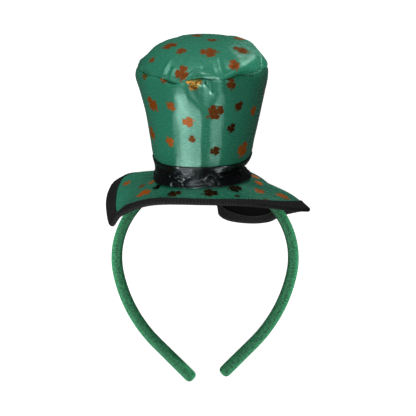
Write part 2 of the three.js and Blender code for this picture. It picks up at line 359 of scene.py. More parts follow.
def crease_field(creases, bearings, along, degree):
    """The sum of creases, each a soft line between two places on the cloth. A place is a bearing, with so
    many millimetres to a degree, and a distance along the cloth."""
    total = np.zeros(np.broadcast(bearings, along).shape)
    for a_bearing, a_along, b_bearing, b_along, width, lift in zip(*creases.values()):
        across = bearing_from(bearings, (a_bearing + b_bearing) / 2) * degree
        above = along - (a_along + b_along) / 2
        run = (b_bearing - a_bearing) * degree
        rise = b_along - a_along
        share = np.clip((across * run + above * rise) / (run**2 + rise**2), -0.5, 0.5)
        total = total + lift * hump(np.hypot(across - share * run, above - share * rise), width)
    return total


def ripples(bearings, along, degree, length, seed, waves=9):
    """Seeded soft waves of about the given lengths across and along the cloth, between about -1 and 1."""
    draw = np.random.default_rng(seed)
    total = 0.0
    for _ in range(waves):
        turns = draw.normal(size=2) / np.array(length)
        around = np.round(turns[0] * 360 * degree) * bearings / 360
        total = total + np.sin(2 * pi * (around + turns[1] * along) + draw.uniform(0, 2 * pi))
    return total / sqrt(waves)


# Headband

YARN_PITCH = 1.25  # from one strand to the next along the band
YARN_STRANDS = -6  # strands side by side; below 0 they climb towards the inside of the loop
YARN_DEPTH = 0.3
YARN_POWER = 0.6  # of the curve across a strand: below 1 it is rounder
WINDING_SINK = 0.22  # how far the strands lie inside the solid tube at the band's top
YARN_RADIUS = TUBE_RADIUS - WINDING_SINK - YARN_DEPTH  # to the grooves between the strands
YARN_STEPS = 5  # rings for each strand
BAND_SWELL = 1.0  # how much thicker the winding is at the tips than at the top
BAND_SIDES = 54
TIP_STEPS = 9
TIP_POWER = 0.55  # of a tip's round end: below 1 it is blunter than a ball
RIB_FADE = 1.5  # the ribs fade where the tip is thinner than the tube by this factor


def band_side(step, leg):
    """Distances, places, headings and radii down one side of the headband, from its top to its tip."""
    sweeps = np.radians(BAND_ARCS["sweep"])
    ends = running(np.append(sweeps * BAND_ARCS["radius"], leg))
    places = np.arange(0, ends[-1], step)
    heading = np.interp(places, ends, np.append(running(sweeps), sweeps.sum()))
    middle = (heading[1:] + heading[:-1]) / 2
    x = running(step * np.cos(middle))
    z = BAND_MIDDLE - running(step * np.sin(middle))
    angle = np.linspace(0, pi / 2, TIP_STEPS + 1)[1:]
    forward = TUBE_RADIUS * np.sin(angle)
    x = np.append(x, x[-1] + forward * cos(heading[-1]))
    z = np.append(z, z[-1] - forward * sin(heading[-1]))
    thick = YARN_RADIUS + BAND_SWELL * places / ends[-1]
    radius = np.append(thick, thick[-1] * np.cos(angle) ** TIP_POWER)
    places = np.append(places, places[-1] + forward)
    heading = np.append(heading, np.full(TIP_STEPS, heading[-1]))
    return places, x, z, heading, radius


def make_headband(material):
    """The wound headband: each strand of the yarn is a rib that runs around it."""
    step = YARN_PITCH / YARN_STEPS
    left = band_side(step, LEFT_LEG)
    right = band_side(step, RIGHT_LEG)
    mirror = (-1, -1, 1, -1, 1)
    places, x, z, heading, radius = [
        np.concatenate([sign * row[:0:-1], other]) for sign, row, other in zip(mirror, left, right)
    ]
    around = np.arange(BAND_SIDES) * 2 * pi / BAND_SIDES
    turn = 2 * pi * places[:, None] / YARN_PITCH + YARN_STRANDS * around
    fade = np.minimum(1, radius / TUBE_RADIUS * RIB_FADE)[:, None]
    thick = radius[:, None] + YARN_DEPTH * np.abs(np.cos(turn / 2)) ** YARN_POWER * fade
    thick[radius < TINY] = 0
    outward = thick * np.cos(around)
    rings = np.empty((*thick.shape, 3))
    rings[..., 0] = x[:, None] + outward * np.sin(heading)[:, None]
    rings[..., 1] = -thick * np.sin(around)
    rings[..., 2] = z[:, None] + outward * np.cos(heading)[:, None]
    piece = ring_mesh("wound_headband", rings, closed=False, grid=(TUBE_RADIUS * around[1], places))
    return finish_piece(piece, material, "green_yarn", "headband")


# Crown

SIDE_SEAM_RADIUS = 43.0  # where bearings are turned into millimetres along the seam
SEAM_WIDTH = 0.9  # of the stitched line, which is drawn in a little all around
SEAM_DEPTH = 0.1
SEAM_TUCK = 0.6  # how far the seam is tucked under an overhang, for each unit of its lip
LIP_START = 0.6  # from the seam to where the overhang's underside begins
LIP_RISE = 3.2  # height of the underside
LIP_FADE = 6.0  # how slowly the overhang fades above that
LIP_REACH = 1.3
CROWN_RIPPLE = 0.06
CROWN_RIPPLE_LENGTHS = (26, 60)  # across and along the cloth
# Where the top bulges over the seam. lip: how far it overhangs the side; draw: how deep the seam is drawn in
OVERHANGS = table(
    "bearing width lip draw",
    (-62, 10, 0.4, 0.6),
    (-30, 7, 0.2, 0.6),
    (0, 10, 0.8, 0.6),
    (38, 16, 1.9, 0.9),
    (100, 16, 0.5, 0.4),
    (160, 20, 0.8, 0.6),
    (215, 18, 0.6, 0.5),
    (250, 14, 0.5, 0.4),
)
# Creases near the top seam: bearings in degrees, distances above the seam in millimetres
SEAM_CREASES = table(
    "from_bearing from_above to_bearing to_above width lift",
    (-70, 2.2, -55, 1.6, 1.0, -1.4),
    (-35.5, 13, -37, 2.5, 1.4, 0.6),
    (-32, 3, -31.5, 8, 1.6, -0.4),
    (-27.5, 8, -28, 4, 1.3, 0.65),
    (-36, 0.3, -24, 0.4, 1.0, -1.3),
    (-13, 2.2, -6.5, 5.6, 0.8, 0.9),
    (-5, 6, 0, 5, 0.8, 0.7),
    (2, 4.3, 11, 2.7, 0.8, 0.9),
    (-8, 1.2, 9, 1.1, 1.3, -1.2),
    (-3, 13, 0.5, 8.5, 1.0, 0.4),
    (9.5, 14, 10.5, 6, 1.8, -0.35),
    (14, 16, 14, 8.5, 1.3, 0.55),
    (14.5, 7, 17, 1.5, 1.3, 0.65),
    (17, 0, 17.5, -7, 1.6, 0.6),
    (32, 9.5, 60, 10.5, 6, 1.7),
    (24, 0.6, 40, 0.7, 0.9, -1.6),
    (42, 0.8, 64, 1.4, 0.9, -2.0),
    (69, 4, 88, 15, 1.1, -0.7),
    (69, 3.6, 71, 4.2, 1.3, -1.5),
    (70, 2.5, 76, -5, 1.1, -0.5),
    (58, 12, 66, 6, 1.3, -0.35),
    (-1.5, -3.5, -1.5, -6, 5.5, -1.5),
    (-1, -8, -1, -10.5, 4, -0.9),
    (-0.5, -12.5, -0.5, -15, 2.8, -0.4),
    (7, -3.5, 5, -9, 6, -1.0),
    (2, -3.2, 8.5, -8.4, 0.8, 0.7),
    (7, -1, 8.5, -7, 0.8, 0.7),
    (4.5, -2.2, 5, -1.8, 1.0, -0.7),
    (-19, -3, -19, -16, 5, 0.5),
    (-13, -0.6, -10.5, -1.2, 1.1, 0.7),
    (-8.5, -1.6, -6, -2, 1.1, 0.7),
    (-2, -3, 0, -3.6, 1.1, 0.7),
    (-10, -3.4, -4, -5, 1.3, -0.6),
    (232, 20, 266, 8, 8, -2.8),
    (268, 2.5, 262, 3, 4, 0.8),
    (264, 3, 272, -4, 5, 0.8),
    (106, 20, 126, 24, 6, 0.9),
    (99, 14, 103, 15.5, 2.2, -0.8),
    (94, 9, 102, 10, 3, -0.6),
    (84, 1.2, 98, 1.2, 2.6, 0.9),
    (118, 1, 121, 11, 1.6, -0.8),
    (146, 1, 143, 12, 1.6, 0.9),
    (170, 1, 173, 12, 1.6, -0.9),
    (194, 1, 190, 11, 1.6, 1.0),
    (222, 1, 226, 12, 1.6, -0.8),
)


def profile(sections, count):
    """A crown profile in even steps along its length, and the distances along it."""
    knots = running(np.hypot(np.diff(sections["height"]), np.diff(sections["radius"])))
    places = np.linspace(0, knots[-1], count)
    return {name: curve_through(knots, values, places)[:, None] for name, values in sections.items()}, places


def bent_brim(x, y):
    """The brim's middle surface near the crown, bent over the headband."""
    return -SIDE_BEND * (x / BEND_RADIUS) ** 2 - FRONT_DISH * (y / BEND_RADIUS) ** 2


def crown_base(section, bearings):
    """The crown's outer face with no creases."""
    gather = section["gather"]
    points = polar(section["radius"] - gather * fold_sum(PUCKERS, "dent", bearings), bearings)
    points[..., 0] += section["shift"]
    bend = bent_brim(points[..., 0], points[..., 1]) * hump(section["height"], BEND_RADIUS)
    points[..., 2] = section["height"] + bend + gather * fold_sum(PUCKERS, "lift", bearings)
    return points


def crown_sheet(section, above, bearings):
    """The crown's outer face; above holds each ring's distance above the top seam."""
    points = crown_base(section, bearings)
    above = above[:, None]
    degree = radians(1) * SIDE_SEAM_RADIUS
    push = crease_field(SEAM_CREASES, bearings, above, degree)
    drawn_in = SEAM_DEPTH + fold_sum(OVERHANGS, "draw", bearings)
    push -= drawn_in * hump(above, SEAM_WIDTH)
    lip = fold_sum(OVERHANGS, "lip", bearings)
    rise = np.clip((above - LIP_START) / LIP_RISE, 0, 1)
    fade = hump(np.maximum(above - LIP_START - LIP_RISE, 0), LIP_FADE)
    push += lip * (LIP_REACH * rise**2 * (3 - 2 * rise) * fade - SEAM_TUCK * hump(above, SEAM_WIDTH))
    waves = ripples(bearings, above, degree, CROWN_RIPPLE_LENGTHS, seed=3)
    push += CROWN_RIPPLE * waves * section["radius"] / SIDE_SEAM_RADIUS
    return points + push[..., None] * sheet_normals(points)


def make_crown(material):
    """The side and the puffed top of the crown, which meet at the seam."""
    side, down = profile(CROWN_SECTIONS, SIDE_ROWS)
    side_sheet = crown_sheet(side, down - down[-1], CROWN_BEARINGS)
    tip, up = profile(TIP_SECTIONS, TIP_ROWS)
    tip_sheet = crown_sheet(tip, up, CROWN_BEARINGS)
    tip_sheet[-1] = tip_sheet[-2].mean(0)
    both = sheet_normals(np.concatenate([side_sheet, tip_sheet]))
    side_rings, _ = wall(side_sheet, both[:SIDE_ROWS], -CROWN_CLOTH, 0, every=12)
    side_piece = ring_mesh("satin_crown_side", side_rings)
    tip_rings, along = wall(tip_sheet, both[SIDE_ROWS:], -CROWN_CLOTH, 0, every=12)
    tip_piece = ring_mesh("satin_crown_top", tip_rings, disc=along.max() - along)
    return [
        finish_piece(side_piece, material, "green_satin", "crown_side"),
        finish_piece(tip_piece, material, "green_satin", "crown_tip"),
    ]


# Sash

SASH_TOP = 14.8
SASH_GAP = 0.15
SASH_RIPPLE = 0.17
SASH_RIPPLE_LENGTHS = (9, 3.2)  # across and along the cloth
WRINKLE_TOP = 7.0  # the finest wrinkles lie below this height
WRINKLE_FADE = 2.0
WRINKLE_DEPTH = 0.2
WRINKLE_LENGTHS = (5, 2.4)
SASH_TAUT = 0.5  # the part of the sash's height in which its folds fade towards its top edge
SASH_CREASES = table(
    "from_bearing from_height to_bearing to_height width lift",
    (-55, 4.2, -12, 5.4, 0.9, 0.4),
    (-46, 2.6, 4, 3, 0.8, 0.4),
    (-40, 6.6, -6, 4.4, 0.8, -0.3),
    (-24, 7.5, 22, 5.2, 0.9, 0.4),
    (-10, 2, 24, 3.8, 0.8, 0.3),
    (-12, 13, -34, 7, 2.4, 0.5),
    (0, 13, 5, 8, 2.6, -2.2),
    (14, 13, 30, 7.5, 1.5, 0.9),
    (22, 5.5, 62, 7.2, 0.9, 0.6),
    (30, 8.4, 75, 5.8, 1.0, -0.7),
    (-80, 6, -50, 9, 1.5, 0.5),
    (-95, 9, -64, 5, 1.5, -0.5),
    (-66, 2.2, -40, 2, 2.2, 1.4),
    (56, 1.8, 78, 1.8, 2, 1.2),
    (72, 6.5, 110, 6.5, 2.6, -1.9),
    (60, 11, 95, 4, 1.2, 0.6),
    (112, 5, 150, 8, 1.4, 0.7),
    (120, 10, 170, 6, 1.5, -0.6),
    (160, 5, 215, 7, 1.3, 0.7),
    (190, 11, 230, 7, 1.6, 0.6),
    (220, 4, 262, 7, 1.3, -0.6),
)


def make_sash(material):
    """The black sash: it follows the foot of the crown, stands off it in creases and spreads on the brim."""
    bearings = CROWN_BEARINGS
    heights = CROWN_SECTIONS["height"]
    rise = fold_sum(SASH_FOLDS, "rise", bearings)
    share = np.linspace(0, 1, SASH_STEPS)[:, None]
    height = heights[0] + share * (SASH_TOP + rise - heights[0])
    section = {name: curve_through(heights, CROWN_SECTIONS[name], height) for name in ("radius", "shift")}
    section["height"] = height
    section["gather"] = np.zeros_like(height)
    points = crown_base(section, bearings)
    degree = radians(1) * section["radius"].mean()
    swell = fold_sum(SASH_FOLDS, "swell", bearings)
    swell = swell + crease_field(SASH_CREASES, bearings, height, degree)
    swell += SASH_RIPPLE * ripples(bearings, height, degree, SASH_RIPPLE_LENGTHS, seed=11, waves=14)
    low = np.clip((WRINKLE_TOP - height) / WRINKLE_FADE, 0, 1)
    swell += WRINKLE_DEPTH * low * ripples(bearings, height, degree, WRINKLE_LENGTHS, seed=12, waves=16)
    push = SASH_GAP + swell * np.clip((1 - share) / SASH_TAUT, 0, 1)
    sheet = points + np.maximum(push, SASH_GAP)[..., None] * sheet_normals(points)
    rings, _ = wall(sheet, sheet_normals(sheet), 0, SASH_CLOTH, every=6)
    return finish_piece(ring_mesh("satin_sash", rings), material, "black_satin", "hat_band")


# Brim


def press_on_floor(points):
    """Cloth that would go through the floor is pressed flat on it, with a soft bend where it leaves it."""
    floor = -HAT_ORIGIN[2] / MM
    above = points[..., 2] * sin(LEAN) - points[..., 1] * cos(LEAN) - floor - TAPE_HALF
    soft = np.where(above > -FLOOR_BEND, (above + FLOOR_BEND) ** 2 / (4 * FLOOR_BEND), 0)
    pressed = np.where(above > FLOOR_BEND, above, soft)
    points[..., 1] -= (pressed - above) / cos(LEAN)
    return points


def brim_sections(count):
    """Bearings of the brim's sections, and each section as points with the distances along it."""
    corners = polar(BRIM_EDGE["reach"], BRIM_EDGE["bearing"], -BRIM_EDGE["drop"])
    edge = np.stack([curve_around(corners[:, axis], count) for axis in range(3)], -1)
    pitch = np.radians(curve_around(BRIM_EDGE["pitch"], count))
    bearings = np.degrees(np.arctan2(edge[:, 0], -edge[:, 1]))
    outward = polar(1.0, bearings)
    foot = polar(FOOT_RADIUS, bearings)
    foot[:, 2] = bent_brim(foot[:, 0], foot[:, 1])
    leave = outward.copy()
    leave[:, 2] = 2 * foot[:, 2] / FOOT_RADIUS
    arrive = outward * np.cos(pitch)[:, None]
    arrive[:, 2] = -np.sin(pitch)
    handle = HANDLE * np.linalg.norm(edge - foot, axis=1, keepdims=True)
    controls = [foot, foot + unit(leave) * handle, edge - arrive * handle, edge]
    t = np.linspace(0, 1, SECTION_POINTS)[:, None, None]
    weights = [(1 - t) ** 3, 3 * t * (1 - t) ** 2, 3 * t**2 * (1 - t), t**3]
    curves = sum(weight * control for weight, control in zip(weights, controls))
    steps = np.linalg.norm(np.diff(curves, axis=0), axis=-1)
    lengths = np.concatenate([np.zeros((1, count)), np.cumsum(steps, axis=0)])
    return bearings, curves, lengths


def read_sections(curves, lengths, places):
    """Points of the sections at places along them, one row of places for each ring."""
    rings = np.empty((len(places), curves.shape[1], 3))
    for column in range(curves.shape[1]):
        for axis in range(3):
            rings[:, column, axis] = np.interp(places[:, column], lengths[:, column], curves[:, column, axis])
    return press_on_floor(rings)


def inner_rings(bearings, radii):
    """Rings of the brim's middle surface inside the crown."""
    rings = polar(np.array(radii, float)[:, None], bearings)
    rings[..., 2] = bent_brim(rings[..., 0], rings[..., 1])
    return rings


def make_brim(satin, lining, tape):
    """The brim's satin, its black lining and the tape around its edge, with the tape's stitches."""
    bearings, curves, lengths = brim_sections(BRIM_COLUMNS)
    whole = lengths[-1]
    inside = np.linspace(1, 0, BRIM_ROWS)[:, None] * (whole - TAPE_WIDTH)
    under_tape = whole - np.linspace(0, TAPE_WIDTH, UNDER_TAPE_ROWS + 1)[:-1, None]
    sheet = read_sections(curves, lengths, np.concatenate([under_tape, inside]))
    middle = inner_rings(bearings, INSIDE_RADII)
    lined = inner_rings(bearings, LINING_RADII)
    satin_sheet = np.concatenate([sheet, middle])
    whole_sheet = np.concatenate([satin_sheet, lined])
    normals = sheet_normals(whole_sheet)
    lining_rings, along = wall(whole_sheet, normals, -BRIM_HALF, -LAYER_AIR)
    lining_piece = ring_mesh("brim_lining_cloth", lining_rings, disc=along.max() - along)
    satin_rings, satin_along = wall(satin_sheet, normals[: len(satin_sheet)], LAYER_AIR, BRIM_HALF)
    satin_piece = ring_mesh("satin_brim", satin_rings, disc=along.max() - satin_along)
    return [
        finish_piece(satin_piece, satin, "green_satin", "brim"),
        finish_piece(lining_piece, lining, "black_lining", "brim_lining"),
        *make_tape(bearings, curves, lengths, tape),
    ]


# Tape

# Where it shows wider or narrower than elsewhere
TAPE_WIDTHS = table("bearing width more", (132, 34, -4.2), (-75, 26, 0.8))
TAPE_AIR = 0.1  # between the brim and the tape
TAPE_INNER_ROWS = ((0, 1), (-1, 1), (-1, -1), (0, -1))  # of its faces on the brim: above it 1, below it -1
NOSE_STEPS = 8  # round the brim's edge
# The tape's rows as shares of its width from its outer edge, and half its thickness there
TAPE_SHARES = np.array([1, 0.95, 0.88, 0.78, 0.62, 0.44, 0.25, 0.12, 0])
TAPE_SECTION = table(
    "share half",
    (0, TAPE_HALF),
    (0.78, TAPE_HALF - 0.15),
    (0.95, TAPE_HALF - 0.1),
    (1, BRIM_HALF + 0.35),
)
STITCH_ROW = 2  # the tape's row, near its inner edge, that the stitches follow
STITCH_PITCH = 2.7
STITCH_LENGTH = 1.9
STITCH_RADIUS = 0.24
STITCH_SINK = 0.15  # how deep a stitch's ends lie in the tape
STITCH_RINGS = 7
STITCH_SIDES = 6


def make_tape(bearings, curves, lengths, material):
    """The tape and its stitches. Its section goes under the brim, round its edge, back over it and inside."""
    half = np.interp(TAPE_SHARES, TAPE_SECTION["share"], TAPE_SECTION["half"])[:, None, None]
    width = TAPE_WIDTH + fold_sum(TAPE_WIDTHS, "more", bearings)
    sheet = read_sections(curves, lengths, lengths[-1] - TAPE_SHARES[:, None] * width)
    normals = -sheet_normals(sheet)
    outward = unit(sheet[-1] - sheet[-2])
    lower = sheet - normals * half
    upper = sheet + normals * half
    angle = np.radians(np.linspace(-90, 90, NOSE_STEPS + 1)[1:-1])[:, None, None]
    nose = sheet[-1] + TAPE_HALF * (outward * np.cos(angle) + normals[-1] * np.sin(angle))
    within = BRIM_HALF + TAPE_AIR
    inner = np.stack([sheet[row] + sign * within * normals[row] for row, sign in TAPE_INNER_ROWS])
    rings = np.concatenate([lower, nose, upper[::-1], inner])
    up = normals[STITCH_ROW]
    seams = [(lower[STITCH_ROW], -up), (upper[STITCH_ROW], up)]
    return [
        finish_piece(ring_mesh("bias_tape", rings), material, "black_tape", "brim_binding"),
        make_stitches(seams),
    ]


def make_stitches(seams):
    """Short stitches along the tape on both faces."""
    stitches = []
    for line, normals in seams:
        line = np.concatenate([line, line[:1]])
        normals = np.concatenate([normals, normals[:1]])
        along = running(np.linalg.norm(np.diff(line, axis=0), axis=1))
        count = int(along[-1] / STITCH_PITCH)
        middles = np.arange(count) * along[-1] / count
        stitches += [stitch_rings(middle, line, normals, along) for middle in middles]
    used, quads = ring_quads(stitches[0], closed=False)
    points = np.concatenate([stitch.reshape(-1, 3)[used] for stitch in stitches])
    starts = np.arange(len(stitches)) * len(used)
    piece = smooth_piece("tape_stitches", points, (quads + starts[:, None, None]).reshape(-1, 4))
    return finish_piece(piece, stitch_thread(), "black_tape")


def stitch_rings(middle, line, normals, along):
    """One stitch about a place along a line: a thread that rises from the tape and dips again to a point."""
    share = np.linspace(-0.5, 0.5, STITCH_RINGS)
    places = (middle + share * STITCH_LENGTH) % along[-1]
    centre = np.stack([np.interp(places, along, line[:, axis]) for axis in range(3)], -1)
    up = unit(np.stack([np.interp(places, along, normals[:, axis]) for axis in range(3)], -1))
    side = np.cross(unit(np.gradient(centre, axis=0)), up)
    bow = np.cos(share * pi)[:, None, None]
    angle = np.arange(STITCH_SIDES)[:, None] * 2 * pi / STITCH_SIDES
    spoke = np.cos(angle) * side[:, None] + np.sin(angle) * up[:, None]
    sunk = centre - STITCH_SINK * up
    return sunk[:, None] + STITCH_RADIUS * (bow**0.5 * spoke + bow * up[:, None])


# Materials


class Shader:
    """A node material that is written as formulas."""

    def __init__(self, name):
        self.material = bpy.data.materials.new(name)
        self.material.use_nodes = True
        self.tree = self.material.node_tree
        self.surface = self.tree.nodes["Principled BSDF"]

    def put(self, node, inputs):
        """Numbers, colours or other nodes' outputs go into a node's inputs, by name or by count."""
        for key, value in inputs.items():
            if isinstance(value, bpy.types.NodeSocket):
                self.tree.links.new(value, node.inputs[key])
            else:
                node.inputs[key].default_value = value

    def node(self, kind, inputs, **settings):
        """The outputs of a new node."""
        made = self.tree.nodes.new(kind)
        for name, value in settings.items():
            setattr(made, name, value)
        self.put(made, inputs)
        return made.outputs

    def set(self, **inputs):
        self.put(self.surface, {name.replace("_", " "): value for name, value in inputs.items()})

    def math(self, operation, *values):
        return self.node("ShaderNodeMath", dict(enumerate(values)), operation=operation)[0]

    def between(self, *values):
        """A smooth step of the first value, between the next two, and from 0 to 1 or between two more."""
        return self.node("ShaderNodeMapRange", dict(enumerate(values)), interpolation_type="SMOOTHSTEP")[0]

    def length(self, x, y):
        """How long the line from 0, 0 to x, y is."""
        squares = self.math("MULTIPLY_ADD", x, x, self.math("MULTIPLY", y, y))
        return self.math("POWER", squares, 0.5)

    def split(self, vector):
        return self.node("ShaderNodeSeparateXYZ", {0: vector})

    def mix(self, share, first, second):
        return self.node("ShaderNodeMix", {"Factor": share, 6: first, 7: second}, data_type="RGBA")[2]

    def cloth(self, across, along):
        """The cloth's own coordinates, with so many units to a millimetre."""
        place = self.node("ShaderNodeUVMap", {}, uv_map="cloth")[0]
        return self.node("ShaderNodeMapping", {"Vector": place, "Scale": (across, along, 1)})[0]

    def noise(self, across, along, detail):
        """Noise with so many grains to a millimetre of the cloth."""
        inputs = {"Vector": self.cloth(across, along), "Scale": 1.0, "Detail": detail}
        return self.node("ShaderNodeTexNoise", inputs)[0]

    def bump(self, height, depth):
        """Bumps of the given depth in millimetres."""
        self.set(Normal=self.node("ShaderNodeBump", {"Distance": depth * MM, "Height": height})[0])

    def finish(self, share, dark, light, rough, specular):
        """The material, with a mix of two colours, a roughness and a specular level."""
        self.set(Base_Color=self.mix(share, dark, light), Roughness=rough, Specular_IOR_Level=specular)
        return self.material


def colour(red, green, blue):
    return (red, green, blue, 1.0)


def grey(level):
    return colour(level, level, level)


SATIN_GREEN = colour(0.028, 0.25, 0.148)
SATIN_DEEP = colour(0.026, 0.225, 0.132)
SATIN_GLOSS = colour(0.55, 1.0, 0.86)
SATIN_ROUGH = 0.2
# The foil's colour runs from FOIL_DARK to FOIL_COPPER by each shamrock's tone. On the listed shamrocks the tone
# paints the light and shade that each one catches: low tones are painted shade, high ones painted light
FOIL_COPPER = colour(1.0, 0.235, 0.02)
FOIL_DARK = colour(0.02, 0.008, 0.003)
# Painted glint: gold colour in patches on the shiny shamrocks. Their full metal and low roughness give a real
# reflection, and the gold colour paints the highlight
GLINT_GOLD = colour(1.0, 0.56, 0.1)
FOIL_ROUGH = 0.65
FOIL_RAGGED = 0.6  # how far the foil's grain moves its outline
FOIL_EDGE = 0.04  # how soft the outline is
FOIL_MOTTLE = 3.0  # how much the grain changes the foil's tone
GLINT_ROUGH = 0.28
# A shamrock whose tone is above SHINY gets the painted gold glint
SHINY = 2.0  # what is added to the tone of a shamrock that glints like gold

# A shamrock whose leaves reach about 1 from its middle. Each leaf is a pair of round lobes
LEAVES = 3
LOBE_OUT = 0.55  # from the middle to a lobe's centre, along its leaf
LOBE_ASIDE = 0.2  # from the leaf's middle line to a lobe's centre
LOBE_RADIUS = 0.345
MIDDLE_RADIUS = 0.4
STEM_BEND = 0.2
STEM_HALF = 0.13  # half its width
STEM_END = -1.15


def shamrock_distance(shader, x, y):
    """Below 0 inside a shamrock with its stem down."""
    calc = shader.math
    radius = shader.length(x, y)
    angle = calc("PINGPONG", calc("ARCTAN2", x, y), pi / LEAVES)
    out = calc("MULTIPLY", radius, calc("COSINE", angle))
    aside = calc("MULTIPLY", radius, calc("SINE", angle))
    from_lobe = shader.length(calc("SUBTRACT", out, LOBE_OUT), calc("SUBTRACT", aside, LOBE_ASIDE))
    lobe = calc("SUBTRACT", from_lobe, LOBE_RADIUS)
    middle = calc("SUBTRACT", radius, MIDDLE_RADIUS)
    bend = calc("MULTIPLY", calc("MULTIPLY", y, y), STEM_BEND)
    stem = calc("SUBTRACT", calc("ABSOLUTE", calc("SUBTRACT", x, bend)), STEM_HALF)
    stem = calc("MAXIMUM", calc("MAXIMUM", stem, y), calc("SUBTRACT", STEM_END, y))
    return calc("MINIMUM", calc("MINIMUM", lobe, middle), stem)


def shamrock_foil(shader):
    """Copper foil shamrocks: where they are, and their colour, roughness and metalness."""
    calc = shader.math
    place = shader.node("ShaderNodeAttribute", {}, attribute_name="print")["Vector"]
    x, y, tone = shader.split(place)
    uneven = calc("SUBTRACT", shader.noise(1.0, 1.0, detail=5), 0.5)
    distance = calc("MULTIPLY_ADD", uneven, FOIL_RAGGED, shamrock_distance(shader, x, y))
    # Painted glint: gold patches on the shiny shamrocks, placed by the grain
    shiny = shader.between(tone, 0.6 * SHINY, 0.9 * SHINY)
    glint = calc("MULTIPLY", shiny, shader.between(uneven, -0.1, 0.02))
    # The tone that is left paints light and shade on a listed shamrock; a hidden one gets a random tone. The
    # grain mottles it
    tone = calc("MULTIPLY_ADD", shiny, -SHINY, tone)
    mottled_and_shaded = calc("MULTIPLY", tone, calc("MULTIPLY_ADD", uneven, FOIL_MOTTLE, 1.0))
    copper = shader.mix(glint, shader.mix(mottled_and_shaded, FOIL_DARK, FOIL_COPPER), GLINT_GOLD)
    rough = calc("MULTIPLY_ADD", glint, GLINT_ROUGH - FOIL_ROUGH, FOIL_ROUGH)
    metal = calc("MAXIMUM", glint, shader.between(tone, 0.1, 0.4, 1.0, 0.7))
    return shader.between(distance, FOIL_EDGE, -FOIL_EDGE), copper, rough, metal


def green_satin():
    """Green satin with fine threads across it, printed with copper foil shamrocks."""
    shader = Shader("green_satin")
    threads = shader.between(shader.noise(0.3, 1.6, detail=3), 0.3, 0.7)
    cloudy = shader.noise(0.05, 0.05, detail=1)
    shade = shader.math("MULTIPLY_ADD", threads, 0.3, shader.math("MULTIPLY", cloudy, 0.7))
    foil, copper, foil_rough, foil_metal = shamrock_foil(shader)
    satin_rough = shader.math("MULTIPLY_ADD", threads, 0.1, SATIN_ROUGH)
    rougher = shader.math("SUBTRACT", foil_rough, satin_rough)
    tangent = shader.node("ShaderNodeTangent", {}, direction_type="UV_MAP", uv_map="cloth")[0]
    shader.set(
        Base_Color=shader.mix(foil, shader.mix(shade, SATIN_DEEP, SATIN_GREEN), copper),
        Metallic=shader.math("MULTIPLY", foil, foil_metal),
        Roughness=shader.math("MULTIPLY_ADD", foil, rougher, satin_rough),
        Anisotropic=0.95,
        Anisotropic_Rotation=0.25,
        Specular_IOR_Level=1.0,
        Specular_Tint=SATIN_GLOSS,
        Tangent=tangent,
    )
    shader.bump(threads, 0.006)
    return shader.material


def black_satin():
    shader = Shader("black_satin")
    threads = shader.noise(0.15, 1.5, detail=4)
    rough = shader.math("MULTIPLY_ADD", threads, 0.12, 0.14)
    shader.set(Anisotropic=0.5, Specular_Tint=colour(0.8, 0.95, 1.0))
    shader.bump(threads, 0.08)
    return shader.finish(threads, colour(0.002, 0.002, 0.003), colour(0.006, 0.006, 0.007), rough, 0.28)


def black_lining():
    # Its near-black colour is partly the cloth's own black and partly painted shade under the brim
    shader = Shader("black_lining")
    weave = shader.noise(3.0, 3.0, detail=2)
    shader.bump(weave, 0.08)
    return shader.finish(weave, grey(0.001), grey(0.005), rough=0.8, specular=0.08)


def stitch_thread():
    """Twisted sewing thread, a little lighter than the tape."""
    shader = Shader("stitch_thread")
    twist = shader.node("ShaderNodeTexNoise", {"Scale": 1800})[0]
    shader.bump(twist, 0.05)
    light = colour(0.07, 0.07, 0.072)
    return shader.finish(twist, colour(0.012, 0.012, 0.013), light, rough=0.6, specular=0.3)


TAPE_RIB = 1.25  # from one rib of the tape to the next


def black_tape():
    """Matte tape with fine ribs from edge to edge."""
    shader = Shader("black_tape")
    around = shader.split(shader.cloth(2 * pi / TAPE_RIB, 1))[0]
    # Painted shade: the colour is darker in the grooves between the ribs, and the noise adds the tape's own
    # uneven tone
    rib = shader.math("MULTIPLY_ADD", shader.math("SINE", around), 0.25, shader.noise(0.6, 0.6, detail=3))
    shader.bump(rib, 0.15)
    return shader.finish(rib, grey(0.004), colour(0.036, 0.036, 0.037), rough=0.8, specular=0.2)


def green_yarn():
    """Yarn wound around a core: the grooves between its strands are painted darker as shade, and its fibres are
    uneven.
    """
    shader = Shader("green_yarn")
    around, along, _ = shader.split(shader.cloth(1 / TUBE_RADIUS, 2 * pi / YARN_PITCH))
    turn = shader.math("MULTIPLY_ADD", around, YARN_STRANDS, along)
    ridge = shader.math("ABSOLUTE", shader.math("COSINE", shader.math("MULTIPLY", turn, 0.5)))
    fibres = shader.noise(0.5, 0.9, detail=4)
    fuzz = shader.between(fibres, 0.33, 0.67, 0.35, 1.3)
    # Painted shade: darker in the grooves between the strands, times the fibres' own uneven colour
    shade = shader.math("MULTIPLY", shader.between(ridge, 0.0, 0.8, 0.1, 1.0), fuzz)
    shader.bump(fibres, 0.12)
    light = colour(0.072, 0.42, 0.19)
    return shader.finish(shade, colour(0.011, 0.068, 0.03), light, rough=0.7, specular=0.2)
